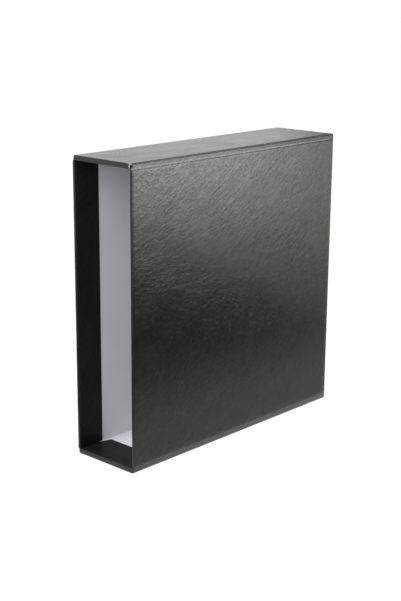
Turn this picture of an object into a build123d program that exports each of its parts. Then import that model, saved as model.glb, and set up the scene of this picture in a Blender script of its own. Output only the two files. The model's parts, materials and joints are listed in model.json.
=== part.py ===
from build123d import *

import os

# Album slipcase: a rim of two-ply board walls (bottom, back and top) with a board side butted
# between them on each hand, covered in leatherette and lined with paper.
# Millimetres. +Z is up, the open mouth faces -Y, the large sides face +X and -X,
# and the origin is the middle of the underside.

# Outside of the finished case
case_height = 325.0
case_depth = 328.0
case_width = 87.0

# Sheet materials
board_ply = 2.3
cover_skin = 0.3
lining_paper = 0.2

# How the covered sides meet the rim
side_stand_out = 1.4
side_lap = 8.0

# Cover turned in at the mouth, over the lining
side_turn_in = 33.0
rim_turn_in = 42.0
turn_in_clip_length = 14.0
turn_in_clip = 2.0

# Rounded edges, measured on the outside of the cover
rim_radius = 2.0
mouth_radius = 0.8

# The upper mouth corner on the +X hand, where the cover was nicked to fold it
nick_from_side = 5.0
nick_from_top = 2.2
nick_width = 2.6
nick_height = 2.0
pocket_width = 1.9
pocket_height = 2.8
pocket_from_top = 1.5
pocket_depth = 2.4

# Outside planes
half_width = case_width / 2
half_depth = case_depth / 2
mouth = -half_depth
back = half_depth

# Rim walls, from the outside in: cover, outer ply, inner ply, lining
rim_half_width = half_width - side_stand_out
ply_half_width = rim_half_width - cover_skin
outer_ply_seat = cover_skin
ply_joint = cover_skin + board_ply
rim_seat = ply_joint + board_ply
rim_lining_face = rim_seat + lining_paper
rim_inside_face = rim_lining_face + cover_skin
lap_seat = rim_seat + cover_skin
lap_floor = lap_seat + cover_skin

# Sides, from the outside in: cover, board, lining
side_board_outer = half_width - cover_skin
side_board_inner = side_board_outer - board_ply
side_lining_inner = side_board_inner - lining_paper
slot_half_width = side_lining_inner - cover_skin
board_front = mouth + cover_skin

core_rim_radius = rim_radius - cover_skin
core_mouth_radius = mouth_radius - cover_skin

# A side's outer edges are rounded over the whole height by which it stands out
shoulder_radius = side_stand_out
core_shoulder_radius = shoulder_radius - cover_skin
lap_shoulder_radius = core_shoulder_radius - cover_skin


def slab(x, y, z, mode=Mode.ADD):
    """Box between a low and a high value on each axis, in the builder around the call."""
    spans = (x, y, z)
    centre = tuple((low + high) / 2 for low, high in spans)
    with Locations(centre):
        return Box(*(high - low for low, high in spans), mode=mode)


def window(inset):
    """Cut a rectangle in the YZ plane that is open at the mouth and stands inset from the rim's outside."""
    far_edge = back - inset
    open_edge = mouth - case_depth
    with Locations(((far_edge + open_edge) / 2, case_height / 2)):
        Rectangle(far_edge - open_edge, case_height - 2 * inset, mode=Mode.SUBTRACT)


def rim_frame(near_x, far_x, outer_inset, inner_inset, front, mode=Mode.ADD):
    """U-shaped frame seen from the side: bottom, back and top bars between two insets."""
    with BuildSketch(Plane.YZ.offset(near_x)) as frame:
        with Locations(((front + back - outer_inset) / 2, case_height / 2)):
            Rectangle(back - outer_inset - front, case_height - 2 * outer_inset)
        window(inner_inset)
    extrude(frame.sketch, amount=far_x - near_x, mode=mode)


def side_form(near_x, far_x, inset, front, near_fold, far_fold, shoulder):
    """Solid of the +X side between two X planes, inset from the rim's outside.

    The folds round its two mouth edges and the shoulder rounds the outer face's other edges.
    """
    far_y = back - inset
    with BuildPart() as form:
        with BuildSketch(Plane.XY.offset(inset)) as plan:
            with Locations(((near_x + far_x) / 2, (front + far_y) / 2)):
                Rectangle(far_x - near_x, far_y - front)
            corners = plan.vertices().sort_by(Axis.X)
            near_front = corners[:2].sort_by(Axis.Y)[0]
            far_front, far_back = corners[2:].sort_by(Axis.Y)
            for corner, radius in ((near_front, near_fold), (far_front, far_fold), (far_back, shoulder)):
                if radius > 0:
                    fillet(corner, radius=radius)
        extrude(plan.sketch, amount=case_height - 2 * inset)
        if shoulder > 0:
            with BuildSketch(Plane.XZ) as end_view:
                with Locations(((near_x + far_x) / 2, case_height / 2)):
                    outline = Rectangle(far_x - near_x, case_height - 2 * inset)
                fillet(outline.vertices().sort_by(Axis.X)[2:], radius=shoulder)
            extrude(end_view.sketch, amount=case_depth, both=True, mode=Mode.INTERSECT)
    return form.part


def finish(builder, name):
    """Label the piece and write it as its own STEP file."""
    builder.part.label = name
    export_step(builder.part, os.path.join("parts", name + ".step"))


os.makedirs("parts", exist_ok=True)

# The rim's rounded outside, and the same form one cover thickness in
with BuildPart() as rim_outside:
    slab((-rim_half_width, rim_half_width), (mouth, back), (0, case_height))
    long_and_back = rim_outside.edges().filter_by(Axis.Y) + rim_outside.edges().group_by(Axis.Y)[-1]
    fillet(long_and_back, radius=rim_radius)
    fillet(rim_outside.edges().group_by(Axis.Y)[0], radius=mouth_radius)

with BuildPart() as rim_core:
    slab(
        (-ply_half_width, ply_half_width),
        (board_front, back - cover_skin),
        (cover_skin, case_height - cover_skin),
    )
    long_and_back = rim_core.edges().filter_by(Axis.Y) + rim_core.edges().group_by(Axis.Y)[-1]
    fillet(long_and_back, radius=core_rim_radius)
    fillet(rim_core.edges().group_by(Axis.Y)[0], radius=core_mouth_radius)

# The pocket left where the two covers fold past each other at the nicked corner
pocket_x = (rim_half_width - pocket_width, half_width)
pocket_y = (mouth - 1, mouth + pocket_depth)
pocket_z = (
    case_height - pocket_from_top - pocket_height,
    case_height - pocket_from_top,
)

# Rim boards: the outer plies lap over the back's ends and the inner plies butt against it
full_width = (-half_width, half_width)
outer_run = (board_front, back - cover_skin)
inner_run = (board_front, back - rim_seat)
ply_spans = {
    "top_outer_board": (outer_run, (case_height - ply_joint, case_height - outer_ply_seat)),
    "top_inner_board": (inner_run, (case_height - rim_seat, case_height - ply_joint)),
    "bottom_outer_board": (outer_run, (outer_ply_seat, ply_joint)),
    "bottom_inner_board": (inner_run, (ply_joint, rim_seat)),
    "back_outer_board": (
        (back - ply_joint, back - outer_ply_seat),
        (ply_joint, case_height - ply_joint),
    ),
    "back_inner_board": (
        (back - rim_seat, back - ply_joint),
        (ply_joint, case_height - ply_joint),
    ),
}
for name, (ply_y, ply_z) in ply_spans.items():
    with BuildPart() as ply:
        add(rim_core.part)
        slab(full_width, ply_y, ply_z, mode=Mode.INTERSECT)
        slab(pocket_x, pocket_y, pocket_z, mode=Mode.SUBTRACT)
    finish(ply, name)

# Everything on the +X hand that lies under the side's cover: the part level with the rim
# butts against it, and the part that stands out has rounded shoulders
side_level = side_form(
    side_lining_inner, rim_half_width, rim_seat, board_front, core_mouth_radius, 0, 0
)
side_proud = side_form(
    side_lining_inner,
    side_board_outer,
    lap_seat,
    board_front,
    core_mouth_radius,
    core_mouth_radius,
    core_shoulder_radius,
)
with BuildPart() as side_core:
    add(side_level)
    add(side_proud)

# The rim cover's margin on the +X hand: up past the joint, over the side board's shoulder
# and on to its face
with BuildPart() as right_lap:
    add(side_proud)
    add(
        side_form(
            side_lining_inner,
            side_board_outer - cover_skin,
            lap_floor,
            board_front,
            0,
            0,
            lap_shoulder_radius,
        ),
        mode=Mode.SUBTRACT,
    )
    rim_frame(rim_half_width, half_width, 0, rim_seat + side_lap, board_front, Mode.INTERSECT)
    rim_frame(ply_half_width, rim_half_width, rim_seat, lap_floor, board_front)

# Side board on the +X hand, pressed down by one cover thickness where the rim cover laps over it
with BuildPart() as right_board:
    add(side_core.part)
    slab((0, side_board_inner), (mouth, back), (0, case_height), mode=Mode.SUBTRACT)
    add(right_lap.part, mode=Mode.SUBTRACT)

# Lining on the +X hand, under the turned-in cover
with BuildPart() as right_lining:
    add(side_core.part)
    slab((0, side_board_inner), (mouth, back), (0, case_height), mode=Mode.INTERSECT)

# Side cover on the +X hand: one sheet over the outside and its shoulders, round the mouth edge
# and back along the inside, with its inner flap cut short of the floor and the ceiling lining
with BuildPart() as right_cover:
    add(
        side_form(
            slot_half_width,
            half_width,
            rim_seat,
            mouth,
            mouth_radius,
            mouth_radius,
            shoulder_radius,
        )
    )
    add(side_core.part, mode=Mode.SUBTRACT)
    slab(
        (slot_half_width, side_lining_inner),
        (mouth + side_turn_in, back),
        (0, case_height),
        mode=Mode.SUBTRACT,
    )
    for end in (rim_seat, case_height - rim_lining_face):
        slab(
            (slot_half_width, side_lining_inner),
            (board_front, mouth + side_turn_in),
            (end, end + lining_paper),
            mode=Mode.SUBTRACT,
        )

# The -X hand is the mirror image
for right, stem in ((right_board, "board"), (right_lining, "lining"), (right_cover, "cover")):
    finish(right, "right_" + stem)
    with BuildPart() as left:
        mirror(right.part, about=Plane.YZ)
    finish(left, "left_" + stem)

# Rim lining: one strip up the back with both ends run out to the mouth
with BuildPart() as rim_lining:
    rim_frame(-side_lining_inner, side_lining_inner, rim_seat, rim_lining_face, board_front)
finish(rim_lining, "rim_lining")

# Rim cover: one strip round the bottom, back and top. Its margins fold down over the wall
# edges and on to the side boards, and its ends turn in at the mouth
with BuildPart() as rim_cover:
    add(rim_outside.part)
    add(rim_core.part, mode=Mode.SUBTRACT)
    slab(
        full_width,
        (mouth - case_depth, back - rim_seat),
        (rim_seat, case_height - rim_seat),
        mode=Mode.SUBTRACT,
    )
    add(right_lap.part)
    mirror(right_lap.part, about=Plane.YZ)
    for face, fold in (
        (rim_lining_face, (rim_seat, rim_lining_face)),
        (
            case_height - rim_inside_face,
            (case_height - rim_lining_face, case_height - rim_seat),
        ),
    ):
        slab((-slot_half_width, slot_half_width), (mouth, board_front), fold)
        with BuildSketch(Plane.XY.offset(face)):
            with BuildLine():
                Polyline(
                    (-slot_half_width, mouth),
                    (slot_half_width, mouth),
                    (slot_half_width, mouth + rim_turn_in - turn_in_clip_length),
                    (slot_half_width - turn_in_clip, mouth + rim_turn_in),
                    (turn_in_clip - slot_half_width, mouth + rim_turn_in),
                    (-slot_half_width, mouth + rim_turn_in - turn_in_clip_length),
                    close=True,
                )
            make_face()
        extrude(amount=cover_skin)
    slab(
        (half_width - nick_from_side - nick_width, half_width - nick_from_side),
        (mouth - 1, board_front),
        (
            case_height - nick_from_top - nick_height,
            case_height - nick_from_top,
        ),
        mode=Mode.SUBTRACT,
    )
    slab(pocket_x, pocket_y, pocket_z, mode=Mode.SUBTRACT)
    add(right_cover.part, mode=Mode.SUBTRACT)
    mirror(right_cover.part, about=Plane.YZ, mode=Mode.SUBTRACT)
finish(rim_cover, "rim_cover")
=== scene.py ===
"""Studio scene of an open-fronted slipcase: grained leatherette over greyboard, with a paper lining."""

from __future__ import annotations

import json
import logging
import math
from dataclasses import dataclass, field
from enum import Enum

import bmesh
import bpy
import numpy as np
from mathutils import Matrix, Vector

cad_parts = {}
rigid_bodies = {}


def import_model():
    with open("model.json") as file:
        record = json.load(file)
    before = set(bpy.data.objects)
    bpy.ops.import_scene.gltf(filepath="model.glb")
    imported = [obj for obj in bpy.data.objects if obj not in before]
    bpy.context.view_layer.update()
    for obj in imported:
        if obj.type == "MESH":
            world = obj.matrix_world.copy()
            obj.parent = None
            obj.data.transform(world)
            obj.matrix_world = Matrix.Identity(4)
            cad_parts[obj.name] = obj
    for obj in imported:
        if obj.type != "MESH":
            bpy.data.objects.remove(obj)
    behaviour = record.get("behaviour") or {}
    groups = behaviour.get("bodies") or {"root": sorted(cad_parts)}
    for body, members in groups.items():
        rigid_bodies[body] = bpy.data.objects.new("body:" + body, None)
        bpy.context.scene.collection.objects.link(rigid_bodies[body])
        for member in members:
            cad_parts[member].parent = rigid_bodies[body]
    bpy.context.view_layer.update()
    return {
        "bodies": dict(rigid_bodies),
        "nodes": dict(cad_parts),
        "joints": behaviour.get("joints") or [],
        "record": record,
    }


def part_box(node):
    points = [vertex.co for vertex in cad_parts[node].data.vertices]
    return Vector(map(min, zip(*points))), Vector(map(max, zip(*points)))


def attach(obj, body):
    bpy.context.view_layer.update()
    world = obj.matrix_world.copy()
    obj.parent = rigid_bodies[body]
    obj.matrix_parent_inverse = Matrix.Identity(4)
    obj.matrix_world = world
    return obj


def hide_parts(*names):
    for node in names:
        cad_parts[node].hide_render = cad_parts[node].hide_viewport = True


LOG = logging.getLogger("slipcase")
MM = 0.001
HAIR = 1e-9
PHOTO_LONG_SIDE = 601
ROOT = "root"
WRAP = "wrap"

Colour = tuple[float, float, float]


class Hand(Enum):
    """The two sides of the case, as the sign of X."""

    RIGHT = 1
    LEFT = -1


class Level(Enum):
    """The two level walls of the rim."""

    FLOOR = "floor"
    CEILING = "ceiling"


class Mark(Enum):
    """What a mesh says about each of its points, from 0 to 1, for the finishes to use."""

    WEAR = "wear"
    BARE = "bare"
    # Painted shade: share of the gloss taken off in the corner fold's hollow, under the lower shoulders and
    # on the rim strip's rounded edges.
    HOLLOW = "hollow"
    TURNED = "turned"
    SOFT = "soft"


def line(start: tuple[float, float], end: tuple[float, float], steps: int) -> np.ndarray:
    """Points at equal steps on a straight run, both ends included."""
    share = np.linspace(0, 1, steps + 1)[:, None]
    return np.asarray(start) + share * (np.asarray(end) - np.asarray(start))


def arc(
    centre: tuple[float, float], radius: float, start: float, end: float, steps: int = 5
) -> np.ndarray:
    """Points at equal steps on an arc, from one angle in degrees to another: centre + radius (cos, sin)."""
    angle = np.radians(np.linspace(start, end, steps + 1))
    return np.asarray(centre) + radius * np.stack([np.cos(angle), np.sin(angle)], axis=1)


def chain(*runs: np.ndarray) -> np.ndarray:
    """Runs joined end to end, with the point that two neighbours share kept once."""
    return np.concatenate([runs[0]] + [run[1:] for run in runs[1:]])


def spread(runs: tuple[np.ndarray, ...], values: tuple[float, ...]) -> np.ndarray:
    """One value for each point of the chained runs, where a shared point has the earlier run's."""
    counts = [len(runs[0])] + [len(run) - 1 for run in runs[1:]]
    return np.repeat(np.asarray(values, float), counts)


def rise(distance: np.ndarray, reach: float) -> np.ndarray:
    """The distance as a share of the reach, held between 0 and 1."""
    return np.clip(distance / reach, 0, 1)


def smooth_noise(x: np.ndarray, y: np.ndarray, seed: int, cell: float, waves: int = 7) -> np.ndarray:
    """Gentle waves: a sum of plane sine waves in seeded directions, each 0.7 to 1.9 cells long.

    Args:
        x: First coordinate of every point.
        y: Second coordinate of every point.
        seed: Seed of the directions, lengths and phases.
        cell: Typical wave length, in the units of x and y.
        waves: Number of sine waves.

    Returns:
        Heights between about -1 and 1.
    """
    draw = np.random.default_rng(seed)
    shortest, longest = 0.7, 1.9
    total = np.zeros(np.broadcast(x, y).shape)
    for _ in range(waves):
        heading = draw.uniform(0, math.tau)
        pitch = math.tau / (cell * draw.uniform(shortest, longest))
        phase = draw.uniform(0, math.tau)
        total += np.sin(pitch * (x * math.cos(heading) + y * math.sin(heading)) + phase)
    return total / math.sqrt(2 * waves)


def grid_faces(index: np.ndarray) -> np.ndarray:
    """The four-cornered faces between neighbours in a grid of point numbers."""
    corners_of = (index[:-1, :-1], index[1:, :-1], index[1:, 1:], index[:-1, 1:])
    return np.stack(corners_of, axis=-1).reshape(-1, 4)


def show(name: str, data: bpy.types.ID) -> bpy.types.Object:
    """Puts a mesh, lamp or camera into the scene as an object."""
    obj = bpy.data.objects.new(name, data)
    bpy.context.scene.collection.objects.link(obj)
    return obj


def set_mark(mesh: bpy.types.Mesh, mark: Mark, values: np.ndarray) -> None:
    """Writes one value per point into a mesh."""
    layer = mesh.attributes.new(mark.value, "FLOAT", "POINT")
    layer.data.foreach_set("value", values.reshape(-1).astype(np.float32))


def skin_mesh(
    name: str, outer: np.ndarray, inner: np.ndarray, marks: dict[Mark, np.ndarray]
) -> bpy.types.Object:
    """A closed sheet: an outer grid, an inner grid behind it, and a strip round their border.

    Args:
        name: Name of the new object.
        outer: Points of the outside, rows by columns by 3.
        inner: Points of the inside in the same order.
        marks: Marks of the outside points, each rows by columns. The inside takes the same.

    Returns:
        The object, with the marks on its points.
    """
    rows, columns = outer.shape[:2]
    index = np.arange(rows * columns).reshape(rows, columns)
    front = grid_faces(index)
    behind = front[:, ::-1] + rows * columns
    border = np.concatenate([index[0, :-1], index[:-1, -1], index[-1, :0:-1], index[:0:-1, 0]])
    ahead = np.roll(border, -1)
    rim = np.stack([border, ahead, ahead + rows * columns, border + rows * columns], axis=-1)
    mesh = bpy.data.meshes.new(name)
    points = np.concatenate([outer.reshape(-1, 3), inner.reshape(-1, 3)])
    mesh.from_pydata(points.tolist(), [], np.concatenate([front, behind, rim]).tolist())
    for mark, values in marks.items():
        set_mark(mesh, mark, np.stack([values, values]))
    return show(name, mesh)


def weld(
    name: str, parts: list[bpy.types.Object], gap: float = 0.004 * MM, sharp: float = 50.0
) -> bpy.types.Object:
    """Joins sheets into one object, merges doubled points, points faces outwards and shades softly.

    Args:
        name: Name of the joined object.
        parts: Objects to join. They are used up.
        gap: Points nearer than this become one, and faces narrower than a quarter of it go.
        sharp: Edges that bend by more than this many degrees stay sharp.

    Returns:
        The joined object.
    """
    whole = bmesh.new()
    for part in parts:
        piece = bmesh.new()
        piece.from_mesh(part.data)
        bmesh.ops.remove_doubles(piece, verts=piece.verts, dist=gap)
        bmesh.ops.dissolve_degenerate(piece, edges=piece.edges, dist=gap / 4)
        bmesh.ops.recalc_face_normals(piece, faces=piece.faces)
        clean = bpy.data.meshes.new(name)
        piece.to_mesh(clean)
        piece.free()
        whole.from_mesh(clean)
        bpy.data.meshes.remove(clean)
        bpy.data.objects.remove(part)
    mesh = bpy.data.meshes.new(name)
    whole.to_mesh(mesh)
    whole.free()
    mesh.shade_smooth()
    mesh.set_sharp_from_angle(angle=math.radians(sharp))
    return show(name, mesh)


@dataclass(frozen=True)
class CornerFold:
    """The open fold at one upper mouth corner: a hollow darkened with painted shade, with the sheet's bare
    paper edge round it.
    """

    centre: tuple[float, float, float]
    reach: float = 1.55 * MM
    tall: float = 1.15
    depth: float = 0.2 * MM
    # Strength of the painted shade in the hollow, which takes the gloss off there.
    darkness: float = 2.2
    ring: float = 1.3
    ring_width: float = 0.25
    ring_level: float = 0.45
    ring_lean: tuple[float, float, float] = (-0.9, -0.8, 1.0)

    def press(self, points: np.ndarray) -> tuple[np.ndarray, np.ndarray, np.ndarray]:
        """Presses a sheet's points into the hollow, and marks where its paper shows and where shade is
        painted inside.

        The hollow is a bell: depth times exp(-d^4), with d the distance from the centre over the
        reach. Bare paper shows in a ring, exp(-((d - ring) / ring_width)^2), that is open at the
        right and below.

        Args:
            points: Points of a sheet, any shape with 3 last.

        Returns:
            The moved points, the share of bare paper at each, and the painted shade at each, strongest at
            the bottom of the hollow.
        """
        offset = (points - np.asarray(self.centre)) / self.reach
        near = np.linalg.norm(offset / (1.0, 1.0, self.tall), axis=-1)
        sunk = np.exp(-(near**4))
        there = np.clip(self.ring_level + offset @ np.asarray(self.ring_lean), 0, 1)
        paper = there * np.exp(-(((near - self.ring) / self.ring_width) ** 2))
        inward = np.asarray((-1.0, 1.0, 0.0)) / math.sqrt(2)
        pressed = points + (self.depth * sunk)[..., None] * inward
        # The last value is painted shade, deepest at the bottom of the hollow.
        return pressed, paper, np.clip(self.darkness * sunk, 0, 1)


@dataclass(frozen=True)
class CasePlanes:
    """Planes of the case, read off the frame, in metres."""

    half_width: float
    rim_half_width: float
    slot_half_width: float
    mouth: float
    back: float
    height: float
    rim_seat: float
    rim_inside: float
    skin: float

    @classmethod
    def read(cls) -> "CasePlanes":
        """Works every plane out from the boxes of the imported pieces."""
        rim_low, rim_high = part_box("rim_cover")
        side_low, side_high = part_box("right_cover")
        _, ply_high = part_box("top_outer_board")
        lining_low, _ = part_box("right_lining")
        board_low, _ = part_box("right_board")
        skin = rim_high.z - ply_high.z
        paper = board_low.x - lining_low.x
        return cls(
            half_width=side_high.x,
            rim_half_width=ply_high.x + skin,
            slot_half_width=side_low.x,
            mouth=rim_low.y,
            back=rim_high.y,
            height=rim_high.z,
            rim_seat=board_low.z,
            rim_inside=board_low.z + paper + skin,
            skin=skin,
        )


@dataclass
class SideCover:
    """One side's sheet: over the panel's outside, round the mouth edge and back along the inside."""

    planes: CasePlanes
    hand: Hand
    fold_radius: float = 0.85 * MM
    turn_in: float = 33 * MM
    cell: float = 3.2 * MM
    wave_height: float = 0.07 * MM
    wave_length: float = 62 * MM
    wave_seed: int = 11
    calm_mouth: float = 12 * MM
    calm_edge: float = 9 * MM
    least_shoulder: float = 0.06
    high_rise: float = 2.4 * MM
    low_rise: float = 1.2 * MM
    rise_steps: int = 8
    back_steps: int = 6
    edge_steps: int = 3
    shoulder_rub: float = 0.7
    # Painted shade under the lower rounded shoulders, given as a cut in their gloss.
    crease_shade: float = 0.7
    full_stand: float = 0.99
    turned_fade: float = 0.3 * MM
    flap_sheets: float = 1.5
    # Rub of the back shoulder, the face, the mouth fold, the edge, the inner fold and the flap.
    rub: tuple[float, ...] = (0.5, 0.0, 0.4, 0.1, 0.3, 0.0)

    def plan(self, inset: float) -> tuple[np.ndarray, np.ndarray]:
        """The sheet's line in plan, from the back shoulder to the end of the inner flap.

        Args:
            inset: Distance behind the sheet's outside.

        Returns:
            Points (x, y) on the right hand, and the rub of each.
        """
        p = self.planes
        shoulder = p.half_width - p.rim_half_width
        fold = self.fold_radius
        far = p.back - p.rim_seat
        outer, inner = p.half_width, p.slot_half_width
        steps = round((far - p.mouth) / self.cell)
        flap_steps = round(self.turn_in / self.cell)
        runs = (
            arc((outer - shoulder, far - shoulder), shoulder - inset, 90, 0, self.back_steps),
            line((outer - inset, far - shoulder), (outer - inset, p.mouth + fold), steps),
            arc((outer - fold, p.mouth + fold), fold - inset, 0, -90),
            line((outer - fold, p.mouth + inset), (inner + fold, p.mouth + inset), self.edge_steps),
            arc((inner + fold, p.mouth + fold), fold - inset, -90, -180),
            line((inner + inset, p.mouth + fold), (inner + inset, p.mouth + self.turn_in), flap_steps),
        )
        return chain(*runs), spread(runs, self.rub)

    def levels(self) -> tuple[np.ndarray, np.ndarray]:
        """Heights of the rows, and how far the panel stands out at each.

        Near the bottom and the top the panel is rounded: it stands out by the sine of a quarter
        turn, taken over the low rise or the high rise.

        Returns:
            The heights, and the share of the full stand at each, from least_shoulder to 1.
        """
        p = self.planes
        share = np.linspace(0, 1, self.rise_steps + 1)
        ease = np.sin(share * math.pi / 2)
        low, high = p.rim_seat, p.height - p.rim_seat
        steps = round((high - low) / self.cell)
        middle = np.linspace(low + self.low_rise, high - self.high_rise, steps)[1:-1]
        foot, head = low + self.low_rise * share, (high - self.high_rise * share)[::-1]
        stand = np.concatenate([ease, np.ones(len(middle)), ease[::-1]])
        return np.concatenate([foot, middle, head]), np.maximum(stand, self.least_shoulder)

    def surface(self, inset: float) -> tuple[np.ndarray, dict[Mark, np.ndarray]]:
        """The sheet's surface: its plan line carried up the rows, drawn in at the rounded shoulders.

        The flap is squeezed in height until it fits between floor and ceiling. The face sinks by
        wave_height times (1 + waves), which fades to nothing towards its four edges.

        Args:
            inset: Distance behind the sheet's outside.

        Returns:
            Points, rows by columns by 3, and their marks.
        """
        p = self.planes
        line_xy, rub = self.plan(inset)
        heights, stand = self.levels()
        x = np.tile(line_xy[:, 0], (len(heights), 1))
        y = np.tile(line_xy[:, 1], (len(heights), 1))
        z = np.tile(heights[:, None], (1, len(line_xy)))
        outside = x > p.rim_half_width
        x = np.where(outside, p.rim_half_width + (x - p.rim_half_width) * stand[:, None], x)
        middle = p.height / 2
        squeeze = (middle - p.rim_inside) / (middle - p.rim_seat)
        on_flap = x < p.slot_half_width + self.flap_sheets * p.skin
        z = np.where(on_flap, middle + (z - middle) * squeeze, z)
        face = rise(x - p.rim_half_width, p.half_width - p.rim_half_width - inset) ** 4
        along = rise(y - p.mouth, self.calm_mouth) * rise(p.back - p.rim_seat - y, self.calm_edge)
        up = rise(z - p.rim_seat, self.calm_edge) * rise(p.height - p.rim_seat - z, self.calm_edge)
        waves = smooth_noise(y, z, self.wave_seed + self.hand.value, self.wave_length)
        x = x - self.wave_height * face * along * up * np.maximum(1 + waves, 0)
        rounded = (stand < self.full_stand)[:, None] * outside
        marks = {
            # Painted shade: the lower rounded shoulders lose gloss and render darker.
            Mark.HOLLOW: self.crease_shade * rounded * (z < middle),
            Mark.WEAR: np.clip(rub + self.shoulder_rub * (1 - stand)[:, None] * outside, 0, 1),
            Mark.TURNED: rise(p.slot_half_width + self.turned_fade - x, self.turned_fade),
        }
        return np.stack([x * self.hand.value, y, z], axis=-1), marks

    def build(self) -> bpy.types.Object:
        """Makes the sheet as a closed skin in place of the plain side cover."""
        outer, marks = self.surface(0)
        inner, _ = self.surface(self.planes.skin)
        name = f"{self.hand.name.lower()}_side_sheet"
        piece = weld(name, [skin_mesh(name, outer, inner, marks)])
        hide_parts(f"{self.hand.name.lower()}_cover")
        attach(piece, ROOT)
        return piece


@dataclass(frozen=True)
class Route:
    """The rim strip's way round in side view: pairs (y, z), one row per step.

    The anchor lies inside the outside by the edge radius. A point nearer the outside than that is
    set out along outward, and a point deeper in is set along inward. The lip is the angle by which
    the strip still has to turn at the mouth.
    """

    anchor: np.ndarray
    outward: np.ndarray
    inward: np.ndarray
    lip: np.ndarray


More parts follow.
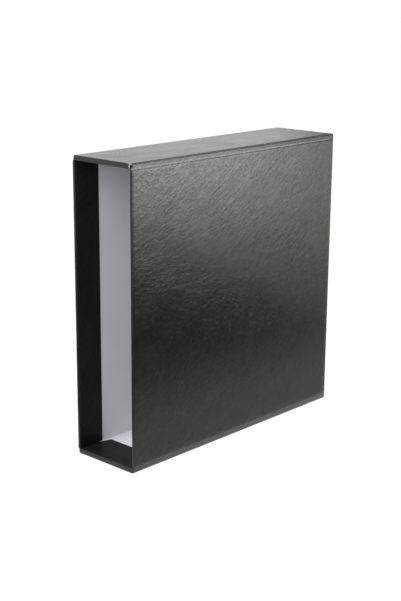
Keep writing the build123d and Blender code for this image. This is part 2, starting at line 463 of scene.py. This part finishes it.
@dataclass
class RimCover:
    """The strip round bottom, back and top: margins over the wall edges, and ends turned in."""

    planes: CasePlanes
    edge_radius: float = 2.0 * MM
    lip_radius: float = 0.8 * MM
    fold_radius: float = 0.5 * MM
    turn_in: float = 42 * MM
    clip_length: float = 15 * MM
    clip: float = 4.5 * MM
    cell: float = 3.2 * MM
    fine: float = 0.4 * MM
    fine_run: float = 6 * MM
    band_steps: int = 8
    corner_steps: int = 6
    lip_steps: int = 5
    wave_height: float = 0.06 * MM
    wave_seed: int = 23
    streak_width: float = 15 * MM
    streak_stretch: float = 6.0
    calm_side: float = 6 * MM
    calm_end: float = 10 * MM
    corner_rub: float = 0.9
    worn_turn: float = 0.3
    least_slant: float = 0.2
    hard_rub: float = 0.8
    # Painted shade on the strip's rounded edges and mouth lip: share of the gloss taken off there.
    stretched: float = 0.42
    dense_from: float = 0.88
    dense_points: int = 14
    sparse_points: int = 36
    fold_inset: tuple[float, float, float] = (0.3 * MM, 0.7 * MM, 2.6 * MM)
    # Rub of the front, its inner edge, the inner fold, the flap and the flap's clipped end.
    end_rub: tuple[float, ...] = (0.2, 0.5, 0.9, 0.0, 0.0)
    end_steps: tuple[int, ...] = (11, 1, 4, 8, 5)

    def fold(self) -> CornerFold:
        """The open fold at the upper mouth corner on the right hand."""
        p = self.planes
        aside, in_from_mouth, down = self.fold_inset
        return CornerFold((p.rim_half_width - aside, p.mouth + in_from_mouth, p.height - down))

    def section(self) -> tuple[np.ndarray, np.ndarray, np.ndarray]:
        """The strip's cross-section from the left wall edge over the flat to the right wall edge.

        Returns:
            Points (x, inset from the rim's outside), outward directions in the same pair, and rub.
        """
        w, r = self.planes.rim_half_width, self.edge_radius
        steps = round(2 * (w - r) / self.cell)
        mirror = (-1, 1)
        band = line((-w, self.planes.rim_seat), (-w, r), self.band_steps)
        left = chain(band, arc((r - w, r), r, 180, 270, self.corner_steps))
        points = chain(left, line((r - w, 0), (w - r, 0), steps), left[::-1] * mirror)
        round_out = arc((0.0, 0.0), 1.0, 180, 270, self.corner_steps)
        left_out = np.concatenate([np.tile([-1.0, 0.0], (len(band), 1)), round_out[1:]])
        flat_out = np.tile([0.0, -1.0], (steps - 1, 1))
        outward = np.concatenate([left_out, flat_out, left_out[::-1] * mirror])
        slanting = np.abs(outward[:, 0] * outward[:, 1]) > self.least_slant
        return points, outward, np.where(slanting, self.corner_rub, 0.0)

    def route(self) -> Route:
        """The strip's way from the mouth under the floor, up the back, to the mouth over the ceiling."""
        p = self.planes
        r, lips = self.edge_radius, self.lip_steps
        low, high = r, p.height - r
        start, far = p.mouth + self.lip_radius, p.back - r
        fine_end = start + self.fine_run
        fine_y = np.arange(start, fine_end, self.fine)
        coarse_y = np.linspace(fine_end, far, round((far - fine_end) / self.cell) + 1)
        floor_y = np.concatenate([np.full(lips, start), fine_y, coarse_y])
        back_z = np.linspace(low, high, round((high - low) / self.cell) + 1)[1:-1]
        floor = np.stack([floor_y, np.full(len(floor_y), low)], axis=1)
        back = np.stack([np.full(len(back_z), far), back_z], axis=1)
        ceiling = floor[::-1] * (1, -1) + (0, p.height)
        turn = np.linspace(0, math.pi / 2, self.corner_steps + 1)[1:-1]
        low_turn = np.stack([np.sin(turn), -np.cos(turn)], axis=1)
        high_turn = np.stack([np.cos(turn), np.sin(turn)], axis=1)
        bends = (len(turn), 1)
        down, out, up = (0.0, -1.0), (1.0, 0.0), (0.0, 1.0)
        stretches = (
            (floor[:-1], down, (0.0, 1.0)),
            (floor[-1:], down, (-1.0, 1.0)),
            (np.tile([far, low], bends), low_turn, (-1.0, 1.0)),
            (np.array([[far, low]]), out, (-1.0, 1.0)),
            (back, out, (-1.0, 0.0)),
            (np.array([[far, high]]), out, (-1.0, -1.0)),
            (np.tile([far, high], bends), high_turn, (-1.0, -1.0)),
            (ceiling[:1], up, (-1.0, -1.0)),
            (ceiling[1:], up, (0.0, -1.0)),
        )
        anchor, outward, inward = (
            np.concatenate([np.broadcast_to(stretch[i], stretch[0].shape) for stretch in stretches])
            for i in range(3)
        )
        lip_turn = np.linspace(math.pi / 2, 0, lips + 1)[:-1]
        lip = np.concatenate([lip_turn, np.zeros(len(anchor) - 2 * lips), lip_turn[::-1]])
        return Route(anchor, outward, inward, lip)

    def wrap(self, inset: float) -> tuple[np.ndarray, np.ndarray]:
        """The strip's outside: the section carried along the route, curling in at the mouth lip.

        At the lip a point is drawn in by lip_radius times (1 - cos) and forward by lip_radius times
        sin of the lip angle. Long shallow streaks press the flats in by wave_height times
        (1 + streaks).

        Args:
            inset: Distance behind the strip's outside.

        Returns:
            Points, route by section by 3, and rub.
        """
        points, outward, rub = self.section()
        way = self.route()
        r = self.edge_radius
        lip = way.lip[:, None]
        curl = self.lip_radius * (1 - np.cos(lip)) + inset * np.cos(lip)
        x = points[:, 0] - curl * outward[:, 0]
        n = points[:, 1] - curl * outward[:, 1]
        flat = rise(self.planes.rim_half_width - np.abs(x), self.calm_side)
        steps = np.diff(way.anchor, axis=0, prepend=way.anchor[:1])
        along = np.cumsum(np.linalg.norm(steps, axis=1))[:, None]
        away = rise(np.minimum(along, along[-1] - along), self.calm_end)
        streaks = smooth_noise(along / self.streak_stretch, x, self.wave_seed, self.streak_width)
        n = n + self.wave_height * flat * away * np.maximum(1 + streaks, 0) * (n < r)
        out_by, in_by = np.maximum(r - n, 0)[..., None], np.maximum(n - r, 0)[..., None]
        yz = way.anchor[:, None] + out_by * way.outward[:, None] + in_by * way.inward[:, None]
        y = yz[..., 0] - (self.lip_radius - inset) * np.sin(lip)
        worn = rub + self.corner_rub * (lip > self.worn_turn)
        return np.stack([x, y, yz[..., 1]], axis=-1), np.clip(worn, 0, 1)

    def mouth_end(self, level: Level, inset: float) -> tuple[np.ndarray, np.ndarray]:
        """The front edge of one level wall and the flap turned in from it.

        The front's width follows the rounded edge of the rim, wide - bend (1 - sqrt(1 - drop^2)).
        The flap is as wide as the slot, and its last stretch is clipped in a straight line.

        Args:
            level: Floor or ceiling.
            inset: Distance behind the sheet's outside.

        Returns:
            Points, way in by across by 3, and rub.
        """
        p = self.planes
        lip, fold = self.lip_radius, self.fold_radius
        front, top = p.mouth + inset, p.rim_inside - inset
        clip_start = p.mouth + self.turn_in - self.clip_length
        front_steps, rest_steps, turned_steps, flap_steps, clip_steps = self.end_steps
        runs = (
            line((front, lip), (front, p.rim_seat), front_steps),
            line((front, p.rim_seat), (front, p.rim_inside - fold), rest_steps),
            arc((p.mouth + fold, p.rim_inside - fold), fold - inset, 180, 90, turned_steps),
            line((p.mouth + fold, top), (clip_start, top), flap_steps),
            line((clip_start, top), (p.mouth + self.turn_in, top), clip_steps),
        )
        way_y, way_z = chain(*runs).T
        wide, bend = p.rim_half_width - lip, self.edge_radius - lip
        drop = 1 - rise(way_z - lip, bend)
        rounded = wide - bend * (1 - np.sqrt(1 - drop**2))
        width = np.where(way_z < p.rim_seat - HAIR, rounded, p.slot_half_width)
        clipped = p.slot_half_width - self.clip * (way_y - clip_start) / self.clip_length
        width = np.where(way_y > clip_start, clipped, width)
        near_end = np.linspace(self.dense_from, 1, self.dense_points)
        sparse = np.linspace(-self.dense_from, self.dense_from, self.sparse_points)[1:-1]
        across = np.concatenate([-near_end[::-1], sparse, near_end])
        x = width[:, None] * across
        y, z = np.broadcast_arrays(way_y[:, None], way_z[:, None] + np.zeros_like(x))
        if level is Level.CEILING:
            z = p.height - z
        rub = np.tile(spread(runs, self.end_rub)[:, None], (1, len(across)))
        return np.stack([x, y, z], axis=-1), rub

    def build(self) -> bpy.types.Object:
        """Makes the strip and its two turned-in ends in place of the plain rim cover."""
        p = self.planes
        fold = self.fold()
        sheets = {WRAP: (self.wrap(0), self.wrap(p.skin))}
        for level in Level:
            sheets[level.value] = (self.mouth_end(level, 0), self.mouth_end(level, p.skin))
        parts = []
        inside = p.rim_inside - self.fold_radius
        for name, ((outer, rub), (inner, _)) in sheets.items():
            # hollow holds the painted shade of the corner fold's hollow.
            pressed, bare, hollow = fold.press(outer)
            depth = np.minimum(outer[..., 2], p.height - outer[..., 2])
            turned = rise(depth - inside, self.fold_radius) * (name != WRAP)
            # Painted shade: the wrap's rounded edges and mouth lip lose gloss and render darker.
            stretched = self.stretched * (rub > self.hard_rub) * (name == WRAP)
            marks = {
                Mark.WEAR: rub,
                Mark.BARE: bare,
                Mark.HOLLOW: np.maximum(hollow, stretched),
                Mark.TURNED: turned,
            }
            parts.append(skin_mesh(name, pressed, fold.press(inner)[0], marks))
        piece = weld("rim_sheet", parts)
        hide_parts("rim_cover")
        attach(piece, ROOT)
        return piece


class Nodes:
    """Short calls for a node tree: add a node, set its inputs and join it up."""

    def __init__(self, tree: bpy.types.NodeTree) -> None:
        """Keeps the tree that the calls work on."""
        self.tree = tree

    def feed(self, node: bpy.types.Node, inputs: dict[str | int, object]) -> None:
        """Gives a node's inputs values, or joins output sockets to them, by name or number."""
        for key, value in inputs.items():
            if isinstance(value, bpy.types.NodeSocket):
                self.tree.links.new(value, node.inputs[key])
            else:
                node.inputs[key].default_value = value

    def add(
        self, kind: str, inputs: dict[str | int, object] | None = None, **settings: object
    ) -> bpy.types.Node:
        """Adds a node.

        Args:
            kind: Node type name.
            inputs: Values or output sockets for its inputs, by name or number.
            settings: Properties of the node itself.

        Returns:
            The node.
        """
        node = self.tree.nodes.new(kind)
        for key, value in settings.items():
            setattr(node, key, value)
        self.feed(node, inputs or {})
        return node

    def math(self, operation: str, a: object, b: object, clamp: bool = False) -> bpy.types.NodeSocket:
        """Output of a Math node on two values or sockets."""
        return self.add("ShaderNodeMath", {0: a, 1: b}, operation=operation, use_clamp=clamp).outputs[0]

    def mix_value(self, factor: float, a: object, b: object) -> bpy.types.NodeSocket:
        """Output of a Mix node on two values."""
        return self.add("ShaderNodeMix", {0: factor, 2: a, 3: b}, data_type="FLOAT").outputs[0]

    def mix(self, factor: object, a: object, b: object) -> bpy.types.NodeSocket:
        """Output of a Mix node on two colours."""
        return self.add("ShaderNodeMix", {0: factor, 6: a, 7: b}, data_type="RGBA").outputs[2]

    def ramp(
        self, value: object, source: tuple[float, float], target: tuple[float, float] = (0.0, 1.0)
    ) -> bpy.types.NodeSocket:
        """Output of a Map Range node from one span to another, where values outside are held at the ends."""
        spans = dict(zip(("From Min", "From Max", "To Min", "To Max"), source + target))
        return self.add("ShaderNodeMapRange", {"Value": value, **spans}).outputs[0]

    def noise(
        self, place: object, scale: object, detail: float, roughness: float = 0.5, distortion: float = 0.0
    ) -> bpy.types.NodeSocket:
        """Value output of a Noise Texture, with its scale in cells per metre."""
        given = {"Vector": place, "Scale": scale, "Detail": detail, "Roughness": roughness}
        return self.add("ShaderNodeTexNoise", {**given, "Distortion": distortion}).outputs["Fac"]

    def mark(self, mark: Mark) -> bpy.types.NodeSocket:
        """Output with one of the mesh's marks."""
        return self.add("ShaderNodeAttribute", attribute_name=mark.value).outputs["Fac"]


def cleared(owner: bpy.types.Material | bpy.types.World) -> Nodes:
    """Empties a new material's or world's node tree and returns the helper on it."""
    owner.use_nodes = True
    owner.node_tree.nodes.clear()
    return Nodes(owner.node_tree)


def opaque(colour: Colour) -> tuple[float, float, float, float]:
    """A colour with full alpha."""
    return (*colour, 1.0)


def new_group(
    name: str, inputs: dict[str, str], outputs: dict[str, str]
) -> tuple[bpy.types.NodeTree, Nodes, bpy.types.Node, bpy.types.Node]:
    """Starts a shader node group with named sockets.

    Args:
        name: Name of the group.
        inputs: Socket type of each input, by name.
        outputs: Socket type of each output, by name.

    Returns:
        The group, its node helper, its input node and its output node.
    """
    group = bpy.data.node_groups.new(name, "ShaderNodeTree")
    for sockets, side in ((inputs, "INPUT"), (outputs, "OUTPUT")):
        for key, kind in sockets.items():
            group.interface.new_socket(name=key, in_out=side, socket_type=kind)
    nodes = Nodes(group)
    return group, nodes, nodes.add("NodeGroupInput"), nodes.add("NodeGroupOutput")


@dataclass(frozen=True)
class LeatherGrain:
    """The node group for leather grain.

    Its height is a sum of rounded pebbles, soft specks, fine pores, and creases drawn out along a
    slant, each times its part. Its fleck mixes specks with creases, and its mottle is a broad cloud.
    """

    warp_scale: float = 260.0
    warp: float = 0.0016
    pebble_softness: float = 0.35
    pebble_part: float = 0.16
    speck_scale: float = 500.0
    speck_part: float = 0.6
    pore_scale: float = 2600.0
    pore_part: float = 0.05
    crease_slant: float = 36.0
    crease_stretch: float = 4.0
    crease_scale: float = 330.0
    crease_span: tuple[float, float] = (0.42, 0.58)
    crease_in_fleck: float = 0.4
    mottle_scale: float = 26.0

    def build(self) -> bpy.types.NodeTree:
        """Makes the group. Its Pebble is in cells per metre, and its Crease is the creases' part."""
        number, vector = "NodeSocketFloat", "NodeSocketVector"
        group, nodes, given, result = new_group(
            "leather_grain",
            {"Vector": vector, "Pebble": number, "Crease": number},
            {"Height": number, "Fleck": number, "Mottle": number},
        )
        place = given.outputs["Vector"]
        wander = {"Vector": place, "Scale": self.warp_scale, "Detail": 2.0}
        warp = nodes.add("ShaderNodeTexNoise", wander).outputs["Color"]
        drift = nodes.add("ShaderNodeVectorMath", {0: warp, "Scale": self.warp}, operation="SCALE")
        shifted = nodes.add("ShaderNodeVectorMath", {0: place, 1: drift.outputs[0]}, operation="ADD")
        cells = {"Vector": shifted.outputs[0], "Scale": given.outputs["Pebble"]}
        pebble = nodes.add(
            "ShaderNodeTexVoronoi", {**cells, "Smoothness": self.pebble_softness}, feature="SMOOTH_F1"
        )
        dome = nodes.math("SUBTRACT", 1.0, pebble.outputs["Distance"], clamp=True)
        slant = {
            "Vector": place,
            "Rotation": (math.radians(self.crease_slant), 0.0, 0.0),
            "Scale": (1.0, self.crease_stretch, 1.0),
        }
        slanted = nodes.add("ShaderNodeMapping", slant, vector_type="TEXTURE").outputs[0]
        crease = nodes.noise(slanted, self.crease_scale, detail=3.0, roughness=0.55, distortion=0.5)
        speck = nodes.noise(place, self.speck_scale, detail=2.0, roughness=0.6)
        pore = nodes.noise(place, self.pore_scale, detail=3.0)
        parts = (
            nodes.math("MULTIPLY", dome, self.pebble_part),
            nodes.math("MULTIPLY", nodes.ramp(crease, self.crease_span), given.outputs["Crease"]),
            nodes.math("MULTIPLY", pore, self.pore_part),
            nodes.math("MULTIPLY", speck, self.speck_part),
        )
        coarse, fine = nodes.math("ADD", *parts[:2]), nodes.math("ADD", *parts[2:])
        mottle = nodes.noise(place, self.mottle_scale, detail=5.0, roughness=0.62)
        fleck = nodes.mix_value(self.crease_in_fleck, speck, crease)
        nodes.feed(result, {"Height": nodes.math("ADD", coarse, fine), "Fleck": fleck, "Mottle": mottle})
        return group


@dataclass(frozen=True)
class PaperFibre:
    """The node group for paper: the higher of two crossed sets of short streaks, and a soft cloud."""

    turns: tuple[float, float] = (20.0, 110.0)
    tilt_divisor: float = 3.0
    stretch: float = 4.5
    cloud_scale: float = 45.0

    def build(self) -> bpy.types.NodeTree:
        """Makes the group. Its Scale is in streaks per metre."""
        number, vector = "NodeSocketFloat", "NodeSocketVector"
        group, nodes, given, result = new_group(
            "paper_fibre", {"Vector": vector, "Scale": number}, {"Height": number, "Cloud": number}
        )
        place, scale = given.outputs["Vector"], given.outputs["Scale"]
        streaks = []
        for turn in self.turns:
            laid = {
                "Vector": place,
                "Rotation": (math.radians(turn), math.radians(turn / self.tilt_divisor), 0.0),
                "Scale": (1.0, self.stretch, 1.0),
            }
            drawn_out = nodes.add("ShaderNodeMapping", laid, vector_type="TEXTURE").outputs[0]
            streaks.append(nodes.noise(drawn_out, scale, detail=3.0, roughness=0.7))
        cloud = nodes.noise(place, self.cloud_scale, detail=6.0)
        nodes.feed(result, {"Height": nodes.math("MAXIMUM", *streaks), "Cloud": cloud})
        return group


@dataclass
class Surface:
    """A new material with its Principled shader and one texture group, laid out in object space."""

    name: str
    colour: Colour
    group: bpy.types.NodeTree
    given: dict[str, float]

    def __post_init__(self) -> None:
        """Adds the shader, its output and the group with its given values."""
        self.material = bpy.data.materials.new(self.name)
        self.material.diffuse_color = opaque(self.colour)
        self.nodes = cleared(self.material)
        self.shader = self.nodes.add("ShaderNodeBsdfPrincipled")
        self.nodes.add("ShaderNodeOutputMaterial", {"Surface": self.shader.outputs["BSDF"]})
        place = self.nodes.add("ShaderNodeTexCoord").outputs["Object"]
        texture = self.nodes.add("ShaderNodeGroup", node_tree=self.group)
        self.nodes.feed(texture, {"Vector": place, **self.given})
        self.texture = texture.outputs

    def finish(self, bump: float, relief: float, inputs: dict[str, object]) -> bpy.types.Material:
        """Raises the group's height as a bump and feeds the shader.

        Args:
            bump: Strength of the bump.
            relief: Height of the bump in metres.
            inputs: The shader's other inputs by name.

        Returns:
            The material.
        """
        height = {"Strength": bump, "Distance": relief, "Height": self.texture["Height"]}
        normal = self.nodes.add("ShaderNodeBump", height).outputs[0]
        self.nodes.feed(self.shader, {**inputs, "Normal": normal})
        return self.material


@dataclass(frozen=True)
class Leatherette:
    """Black grained leatherette: satin, with mottled sheen, flecked gloss and paler rubbed folds, and
    painted shade where its gloss is cut by the painted shade mark and on the turned-in flaps.
    """

    name: str = "black_leatherette"
    colour: Colour = (0.0068, 0.0068, 0.0064)
    mottle: float = 1.35
    rubbed: Colour = (0.03, 0.03, 0.029)
    rub_reach: float = 1.3
    paper: Colour = (0.52, 0.51, 0.48)
    sheen_tint: Colour = (1.0, 1.0, 0.94)
    gloss: float = 0.5
    # Painted shade on the turned-in flaps: share of their gloss taken off.
    turned_dull: float = 0.72
    roughness: float = 0.19
    roughness_spread: float = 0.025
    turned_roughness: float = 0.28
    pebble: float = 950.0
    crease: float = 0.22
    fleck: float = 0.28
    fleck_span: tuple[float, float] = (0.35, 0.65)
    mottle_span: tuple[float, float] = (0.3, 0.7)
    bump: float = 1.0
    relief: float = 0.24 * MM

    def build(self, grain: bpy.types.NodeTree) -> bpy.types.Material:
        """Makes the material.

        Args:
            grain: The leather grain group.

        Returns:
            The material.
        """
        skin = Surface(self.name, self.colour, grain, {"Pebble": self.pebble, "Crease": self.crease})
        nodes, mottle = skin.nodes, skin.texture["Mottle"]
        turned = nodes.mark(Mark.TURNED)
        lighter = tuple(self.mottle * part for part in self.colour)
        base = nodes.mix(mottle, opaque(self.colour), opaque(lighter))
        patches = nodes.math("MULTIPLY", mottle, self.rub_reach)
        worn = nodes.math("MULTIPLY", nodes.mark(Mark.WEAR), patches, clamp=True)
        rubbed = nodes.mix(worn, base, opaque(self.rubbed))
        gloss_span = (self.gloss * (1 - self.fleck), self.gloss * (1 + self.fleck))
        flecked = nodes.ramp(skin.texture["Fleck"], self.fleck_span, gloss_span)
        # Painted shade: gloss cut by the painted shade mark and on the turned-in flaps.
        dull_flap = nodes.math("MULTIPLY", turned, self.turned_dull)
        dull = nodes.math("MAXIMUM", nodes.mark(Mark.HOLLOW), dull_flap)
        rough_span = (self.roughness - self.roughness_spread, self.roughness + self.roughness_spread)
        sheen = nodes.ramp(mottle, self.mottle_span, rough_span)
        rough_flap = nodes.math("MULTIPLY", turned, self.turned_roughness)
        inputs = {
            "Base Color": nodes.mix(nodes.mark(Mark.BARE), rubbed, opaque(self.paper)),
            "Specular IOR Level": nodes.math("MULTIPLY", nodes.math("SUBTRACT", 1.0, dull), flecked),
            "Specular Tint": opaque(self.sheen_tint),
            "Roughness": nodes.math("ADD", sheen, rough_flap),
        }
        return skin.finish(self.bump, self.relief, inputs)


@dataclass(frozen=True)
class LaidSheet:
    """A matt fibre sheet, such as lining paper or greyboard."""

    name: str
    light: Colour
    dark: Colour
    roughness: float = 0.85
    fibre: float = 900.0
    bump: float = 0.12
    relief: float = 0.06 * MM
    gloss: float = 0.3

    def build(self, fibre: bpy.types.NodeTree) -> bpy.types.Material:
        """Makes the material.

        Args:
            fibre: The paper fibre group.

        Returns:
            The material.
        """
        sheet = Surface(self.name, self.light, fibre, {"Scale": self.fibre})
        inputs = {
            "Base Color": sheet.nodes.mix(sheet.texture["Cloud"], opaque(self.dark), opaque(self.light)),
            "Roughness": self.roughness,
            "Specular IOR Level": self.gloss,
        }
        return sheet.finish(self.bump, self.relief, inputs)


@dataclass(frozen=True)
class LyingCard:
    """A card just above the floor: its X and Y edges in metres, and its brightness.

    The brightness at its border is the floor's own where no rim is given.
    """

    name: str
    x: tuple[float, float]
    y: tuple[float, float]
    glow: float
    rim: float | None = None


@dataclass(frozen=True)
class StandingCard:
    """A card on edge that faces the case, in metres, with its bearing in degrees from +X towards +Y."""

    name: str
    bearing: float
    distance: float
    half_width: float
    low: float
    high: float
    glow: float


LYING_CARDS = (
    LyingCard("foot_shade", x=(-0.02, 0.05), y=(-0.16, 0.3), glow=0.2),
    LyingCard("near_glow", x=(0.038, 0.056), y=(-0.22, 0.3), glow=1.7),
    LyingCard("dark_flag", x=(0.12, 1.25), y=(-0.5, 0.56), glow=0.06),
    LyingCard("far_glow", x=(0.2, 1.5), y=(0.72, 1.7), glow=1.2),
    LyingCard("mouth_flag", x=(-0.7, 1.3), y=(-0.9, -0.24), glow=0.05, rim=0.05),
)
STANDING_CARDS = (
    StandingCard("side_card", bearing=40, distance=1.5, half_width=0.34, low=-0.08, high=0.55, glow=7.2),
    StandingCard("corner_card", bearing=61, distance=1.75, half_width=0.42, low=-0.1, high=0.7, glow=1.75),
    StandingCard("high_card", bearing=53, distance=1.5, half_width=0.8, low=1.08, high=2.1, glow=7.0),
    StandingCard("back_card", bearing=142.4, distance=2.0, half_width=0.8, low=0.0, high=1.3, glow=1.0),
)


@dataclass
class Studio:
    """Pale floor, soft lights and the camera at the photograph's view."""

    planes: CasePlanes
    azimuth: float = 42.777
    elevation: float = 15.206
    roll: float = 0.424
    distance: float = 1.36
    aim: tuple[float, float, float] = (-0.00375, -0.01302, 0.14945)
    focal_pixels: float = 1212.2
    sensor: float = 36.0
    far_clip: float = 200.0
    floor_size: float = 60.0
    card_edge: float = 0.35
    card_lift: float = 0.5 * MM
    card_steps: int = 32
    floor_glow: float = 0.75
    floor_colour: Colour = (0.82, 0.82, 0.82)
    floor_white: float = 1.18
    floor_share: float = 0.8
    sky_colour: Colour = (0.96, 0.98, 1.0)
    sky_strength: float = 0.35
    white: Colour = (1.0, 1.0, 1.0)

    def camera(self) -> None:
        """Sets the camera up from its azimuth, elevation, roll and distance round the aim."""
        a, e, roll = (math.radians(v) for v in (self.azimuth, self.elevation, self.roll))
        back = Vector((math.sin(a) * math.cos(e), -math.cos(a) * math.cos(e), math.sin(e)))
        level = Vector((0, 0, 1)).cross(back).normalized()
        upright = back.cross(level)
        right = level * math.cos(roll) + upright * math.sin(roll)
        up = back.cross(right)
        data = bpy.data.cameras.new("camera")
        data.sensor_width = self.sensor
        data.lens = self.focal_pixels * self.sensor / PHOTO_LONG_SIDE
        data.clip_end = self.far_clip
        matrix = Matrix((right, up, back)).transposed().to_4x4()
        matrix.translation = Vector(self.aim) + back * self.distance
        camera = show("camera", data)
        camera.matrix_world = matrix
        bpy.context.scene.camera = camera

    def around(self, bearing: float, distance: float, height: float) -> Vector:
        """A place at a height, at a distance from the case's axis, on a bearing from +X towards +Y."""
        angle = math.radians(bearing)
        return Vector((distance * math.cos(angle), distance * math.sin(angle), height))

    def plane(self, name: str, centre: Vector, right: Vector, up: Vector) -> bpy.types.Object:
        """A flat stage card: a grid spanned by two half-side vectors round its centre.

        Its soft mark falls from 1 inside to 0 at the border, as 3 f^2 - 2 f^3 of the share f.

        Args:
            name: Name of the card.
            centre: Middle of the card.
            right: Half the card's width, as a vector.
            up: Half the card's height, as a vector.

        Returns:
            The card.
        """
        count = self.card_steps + 1
        u, v = np.meshgrid(np.linspace(-1, 1, count), np.linspace(-1, 1, count))
        points = np.asarray(centre) + u[..., None] * np.asarray(right) + v[..., None] * np.asarray(up)
        index = np.arange(count**2).reshape(count, count)
        mesh = bpy.data.meshes.new(name)
        mesh.from_pydata(points.reshape(-1, 3).tolist(), [], grid_faces(index.T).tolist())
        fade = rise(1 - np.abs(u), self.card_edge) * rise(1 - np.abs(v), self.card_edge)
        set_mark(mesh, Mark.SOFT, fade * fade * (3 - 2 * fade))
        card = show(name, mesh)
        return card

    def reflector(self, card: bpy.types.Object, rim: float, middle: float) -> None:
        """Makes a card that is only seen as a reflection.

        Args:
            card: The card.
            rim: Brightness at the border.
            middle: Brightness inside.
        """
        material = bpy.data.materials.new(card.name)
        nodes = cleared(material)
        strength = nodes.ramp(nodes.mark(Mark.SOFT), (0.0, 1.0), (rim, middle))
        glow = nodes.add("ShaderNodeEmission", {"Strength": strength})
        nodes.add("ShaderNodeOutputMaterial", {"Surface": glow.outputs[0]})
        card.data.materials.append(material)
        card.visible_camera = False
        card.visible_diffuse = False
        card.visible_shadow = False
        card.visible_transmission = False

    def reflections(self) -> None:
        """Sets out what the satin covers mirror: flags on the floor and pale cards round it."""
        for layer, card in enumerate(LYING_CARDS, start=1):
            (left, right), (near, far) = card.x, card.y
            centre = Vector(((left + right) / 2, (near + far) / 2, self.card_lift * layer))
            across, ahead = Vector(((right - left) / 2, 0, 0)), Vector((0, (far - near) / 2, 0))
            rim = self.floor_glow if card.rim is None else card.rim
            self.reflector(self.plane(card.name, centre, across, ahead), rim, card.glow)
        for card in STANDING_CARDS:
            centre = self.around(card.bearing, card.distance, (card.low + card.high) / 2)
            across = self.around(card.bearing + 90, card.half_width, 0)
            upright = Vector((0, 0, (card.high - card.low) / 2))
            self.reflector(self.plane(card.name, centre, across, upright), 0.0, card.glow)

    def floor(self) -> None:
        """Lays a pale floor that reads as white to the camera and keeps the case's shadow."""
        half_x, half_y = Vector((self.floor_size, 0, 0)), Vector((0, self.floor_size, 0))
        floor = self.plane("floor", Vector((0, 0, 0)), half_x, half_y)
        material = bpy.data.materials.new("pale_floor")
        nodes = cleared(material)
        lit = nodes.add("ShaderNodeBsdfDiffuse", {"Color": opaque(self.floor_colour)}).outputs[0]
        white = {"Color": opaque(self.white), "Strength": self.floor_white}
        bright = nodes.add("ShaderNodeEmission", white).outputs[0]
        plain = nodes.add("ShaderNodeEmission", {"Strength": self.floor_glow}).outputs[0]
        path = nodes.add("ShaderNodeLightPath").outputs
        mirrored = nodes.add("ShaderNodeMixShader", {0: path["Is Glossy Ray"], 1: lit, 2: plain})
        share = nodes.math("MULTIPLY", path["Is Camera Ray"], self.floor_share)
        mixed = nodes.add("ShaderNodeMixShader", {0: share, 1: mirrored.outputs[0], 2: bright})
        nodes.add("ShaderNodeOutputMaterial", {"Surface": mixed.outputs[0]})
        floor.data.materials.append(material)

    def world(self) -> None:
        """Even pale surroundings, white to the camera."""
        world = bpy.data.worlds.new("surroundings")
        nodes = cleared(world)
        seen = nodes.add("ShaderNodeLightPath").outputs["Is Camera Ray"]
        sky = {"Color": opaque(self.sky_colour), "Strength": self.sky_strength}
        soft = nodes.add("ShaderNodeBackground", sky).outputs[0]
        white = nodes.add("ShaderNodeBackground", {"Color": opaque(self.white)}).outputs[0]
        mixed = nodes.add("ShaderNodeMixShader", {0: seen, 1: soft, 2: white})
        nodes.add("ShaderNodeOutputWorld", {"Surface": mixed.outputs[0]})
        bpy.context.scene.world = world

    def lamp(
        self, name: str, bearing: float, height: float, distance: float, size: tuple[float, float],
        power: float,
    ) -> None:
        """Hangs a soft rectangular lamp that faces the case.

        Args:
            name: Name of the lamp.
            bearing: Direction round the case in degrees, from +X towards +Y.
            height: Height of the lamp's middle in metres.
            distance: Distance from the case's axis in metres.
            size: Width and height in metres.
            power: Power in watts.
        """
        data = bpy.data.lights.new(name, "AREA")
        data.shape = "RECTANGLE"
        data.size, data.size_y = size
        data.energy = power
        lamp = show(name, data)
        lamp.location = self.around(bearing, distance, height)
        aim = Vector((0, 0, self.planes.height / 2))
        lamp.rotation_euler = (aim - lamp.location).to_track_quat("-Z", "Y").to_euler()

    def build(self) -> None:
        """Builds the whole studio."""
        self.camera()
        self.floor()
        self.world()
        self.reflections()
        self.lamp("front_softbox", bearing=-85, height=1.3, distance=1.7, size=(1.7, 1.5), power=65)
        scene = bpy.context.scene
        scene.view_settings.view_transform = "Standard"


@dataclass
class Slipcase:
    """The whole case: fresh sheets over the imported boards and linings."""

    frame: dict
    planes: CasePlanes = field(default_factory=CasePlanes.read)
    paper: LaidSheet = LaidSheet("lining_paper", light=(0.64, 0.64, 0.665), dark=(0.6, 0.6, 0.63))
    board: LaidSheet = LaidSheet(
        "greyboard", light=(0.36, 0.34, 0.31), dark=(0.27, 0.255, 0.23), roughness=0.9, fibre=600.0, bump=0.3
    )

    def dress(self, obj: bpy.types.Object, material: bpy.types.Material) -> None:
        """Gives an object one material in every slot."""
        obj.data.materials.clear()
        obj.data.materials.append(material)

    def build(self) -> None:
        """Builds the sheets and finishes every piece."""
        leather = Leatherette().build(LeatherGrain().build())
        fibre = PaperFibre().build()
        finishes = {"lining": self.paper.build(fibre), "board": self.board.build(fibre), "cover": leather}
        sheets = [SideCover(self.planes, hand).build() for hand in Hand] + [RimCover(self.planes).build()]
        for sheet in sheets:
            self.dress(sheet, leather)
            LOG.info("%s: %d faces", sheet.name, len(sheet.data.polygons))
        for name, node in self.frame["nodes"].items():
            self.dress(node, finishes[name.rsplit("_", 1)[-1]])
            LOG.info("%s finished", name)


def main() -> None:
    """Loads the frame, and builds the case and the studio."""
    logging.basicConfig(level=logging.INFO, format="%(name)s: %(message)s")
    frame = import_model()
    case = Slipcase(frame)
    case.build()
    Studio(case.planes).build()


if __name__ == "__main__":
    main()
